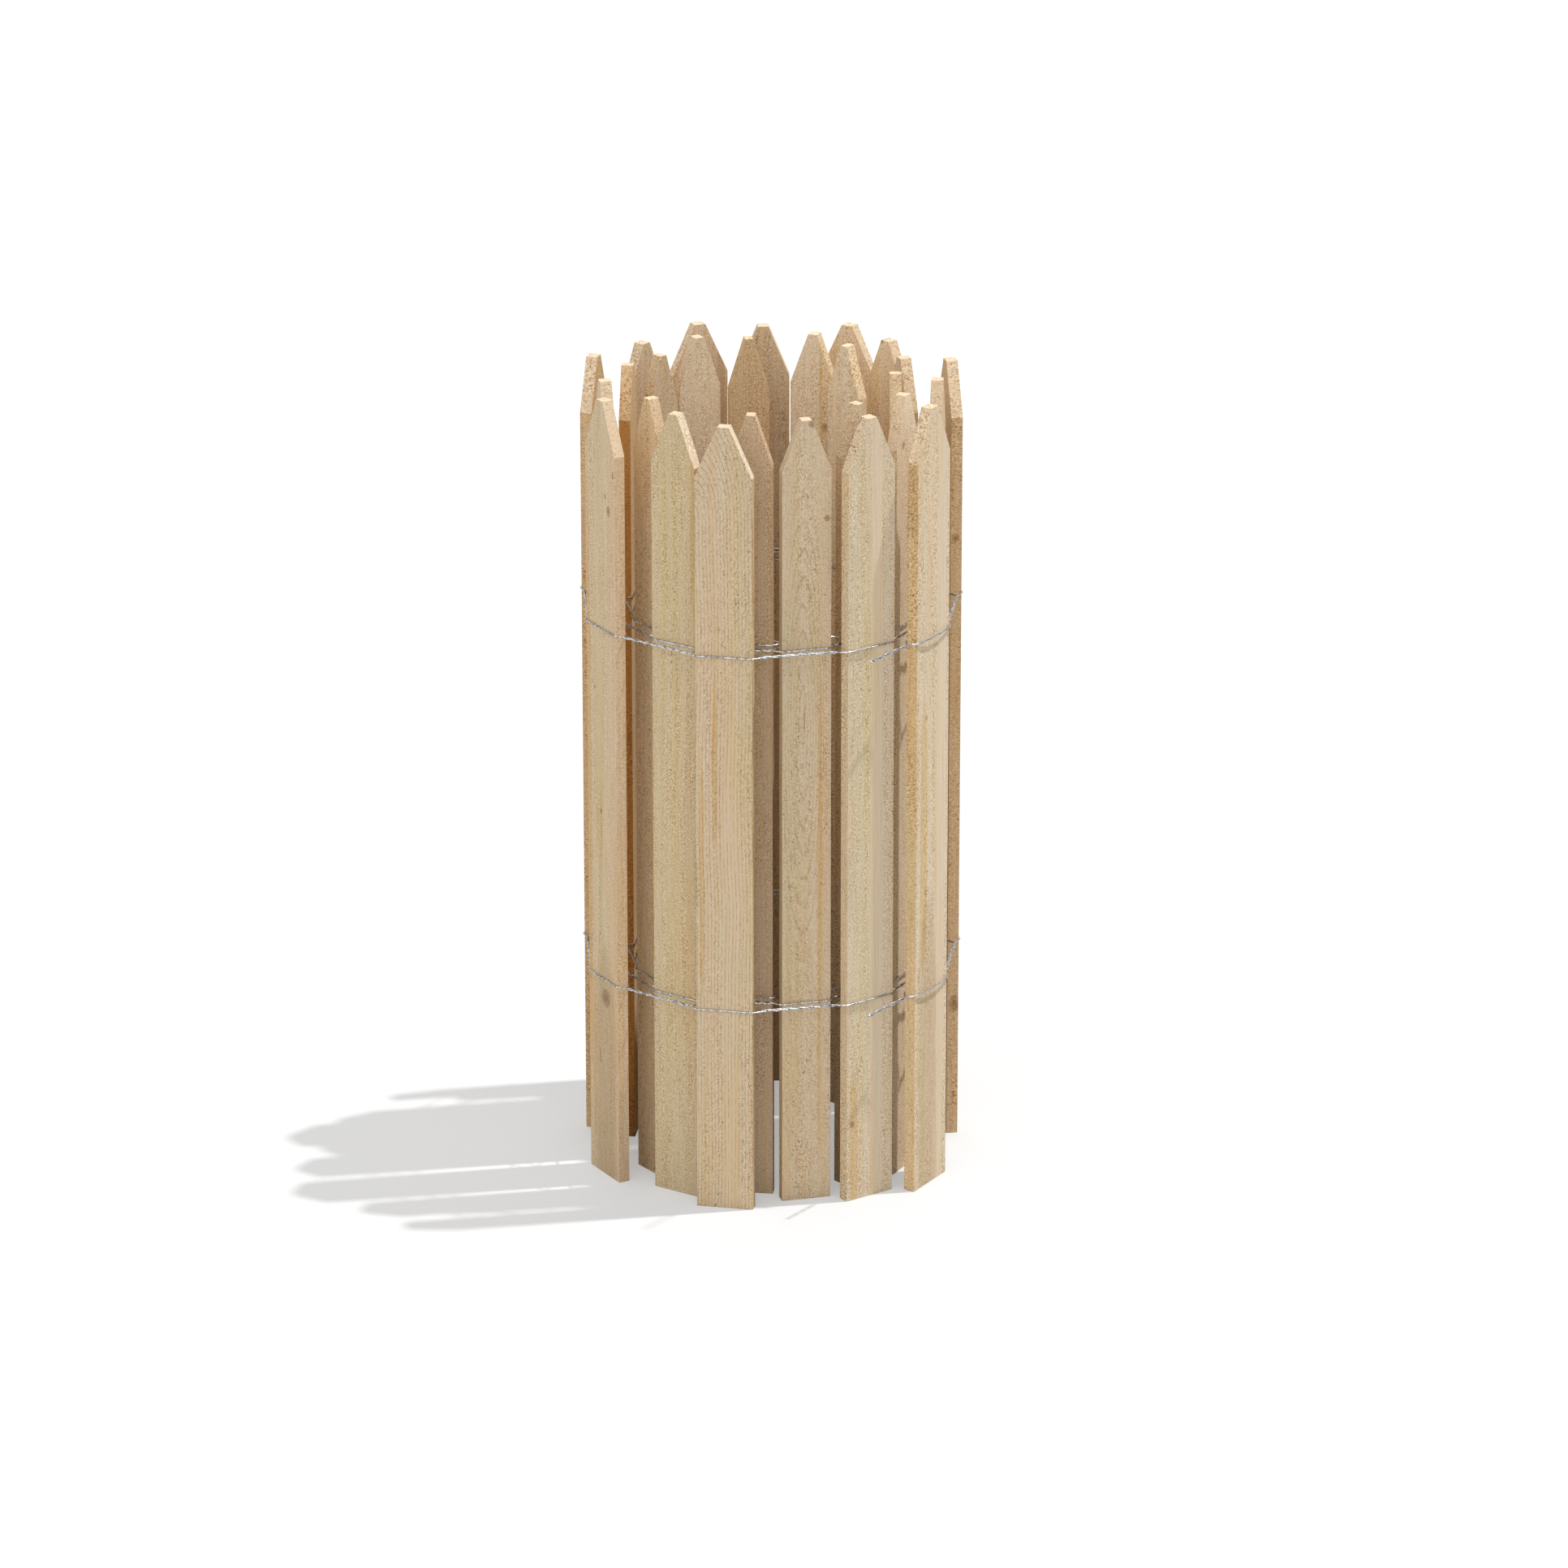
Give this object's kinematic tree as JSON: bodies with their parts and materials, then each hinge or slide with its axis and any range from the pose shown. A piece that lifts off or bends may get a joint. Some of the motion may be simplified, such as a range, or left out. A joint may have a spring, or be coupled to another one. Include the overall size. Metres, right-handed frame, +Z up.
{
  "type": "rolled picket fencing",
  "caption": "Roll of wired picket fencing standing on end: pointed wooden boards held by two strands of twisted galvanised wire.",
  "frame": {"origin": "on the floor, at the middle of the roll's footprint", "axes": "+Z up along the pickets; -Y is the front; the roll's free outer end is at the front right, toward +X"},
  "size_m": [0.5726, 0.572, 1.219],
  "materials": {
    "picket_wood": "rough-sawn untreated softwood",
    "galvanised_wire": "galvanised"
  },
  "bodies": {
    "root": {"picket_01": "picket_wood", "picket_02": "picket_wood", "picket_03": "picket_wood", "picket_04": "picket_wood", "picket_05": "picket_wood", "picket_06": "picket_wood", "picket_07": "picket_wood", "picket_08": "picket_wood", "picket_09": "picket_wood", "picket_10": "picket_wood", "picket_11": "picket_wood", "picket_12": "picket_wood", "picket_13": "picket_wood", "picket_14": "picket_wood", "picket_15": "picket_wood", "picket_16": "picket_wood", "picket_17": "picket_wood", "picket_18": "picket_wood", "picket_19": "picket_wood", "picket_20": "picket_wood", "picket_21": "picket_wood", "picket_22": "picket_wood", "picket_23": "picket_wood", "picket_24": "picket_wood", "picket_25": "picket_wood", "picket_26": "picket_wood", "picket_27": "picket_wood", "upper_wire_a": "galvanised_wire", "upper_wire_b": "galvanised_wire", "lower_wire_a": "galvanised_wire", "lower_wire_b": "galvanised_wire"}
  },
  "joints": []
}
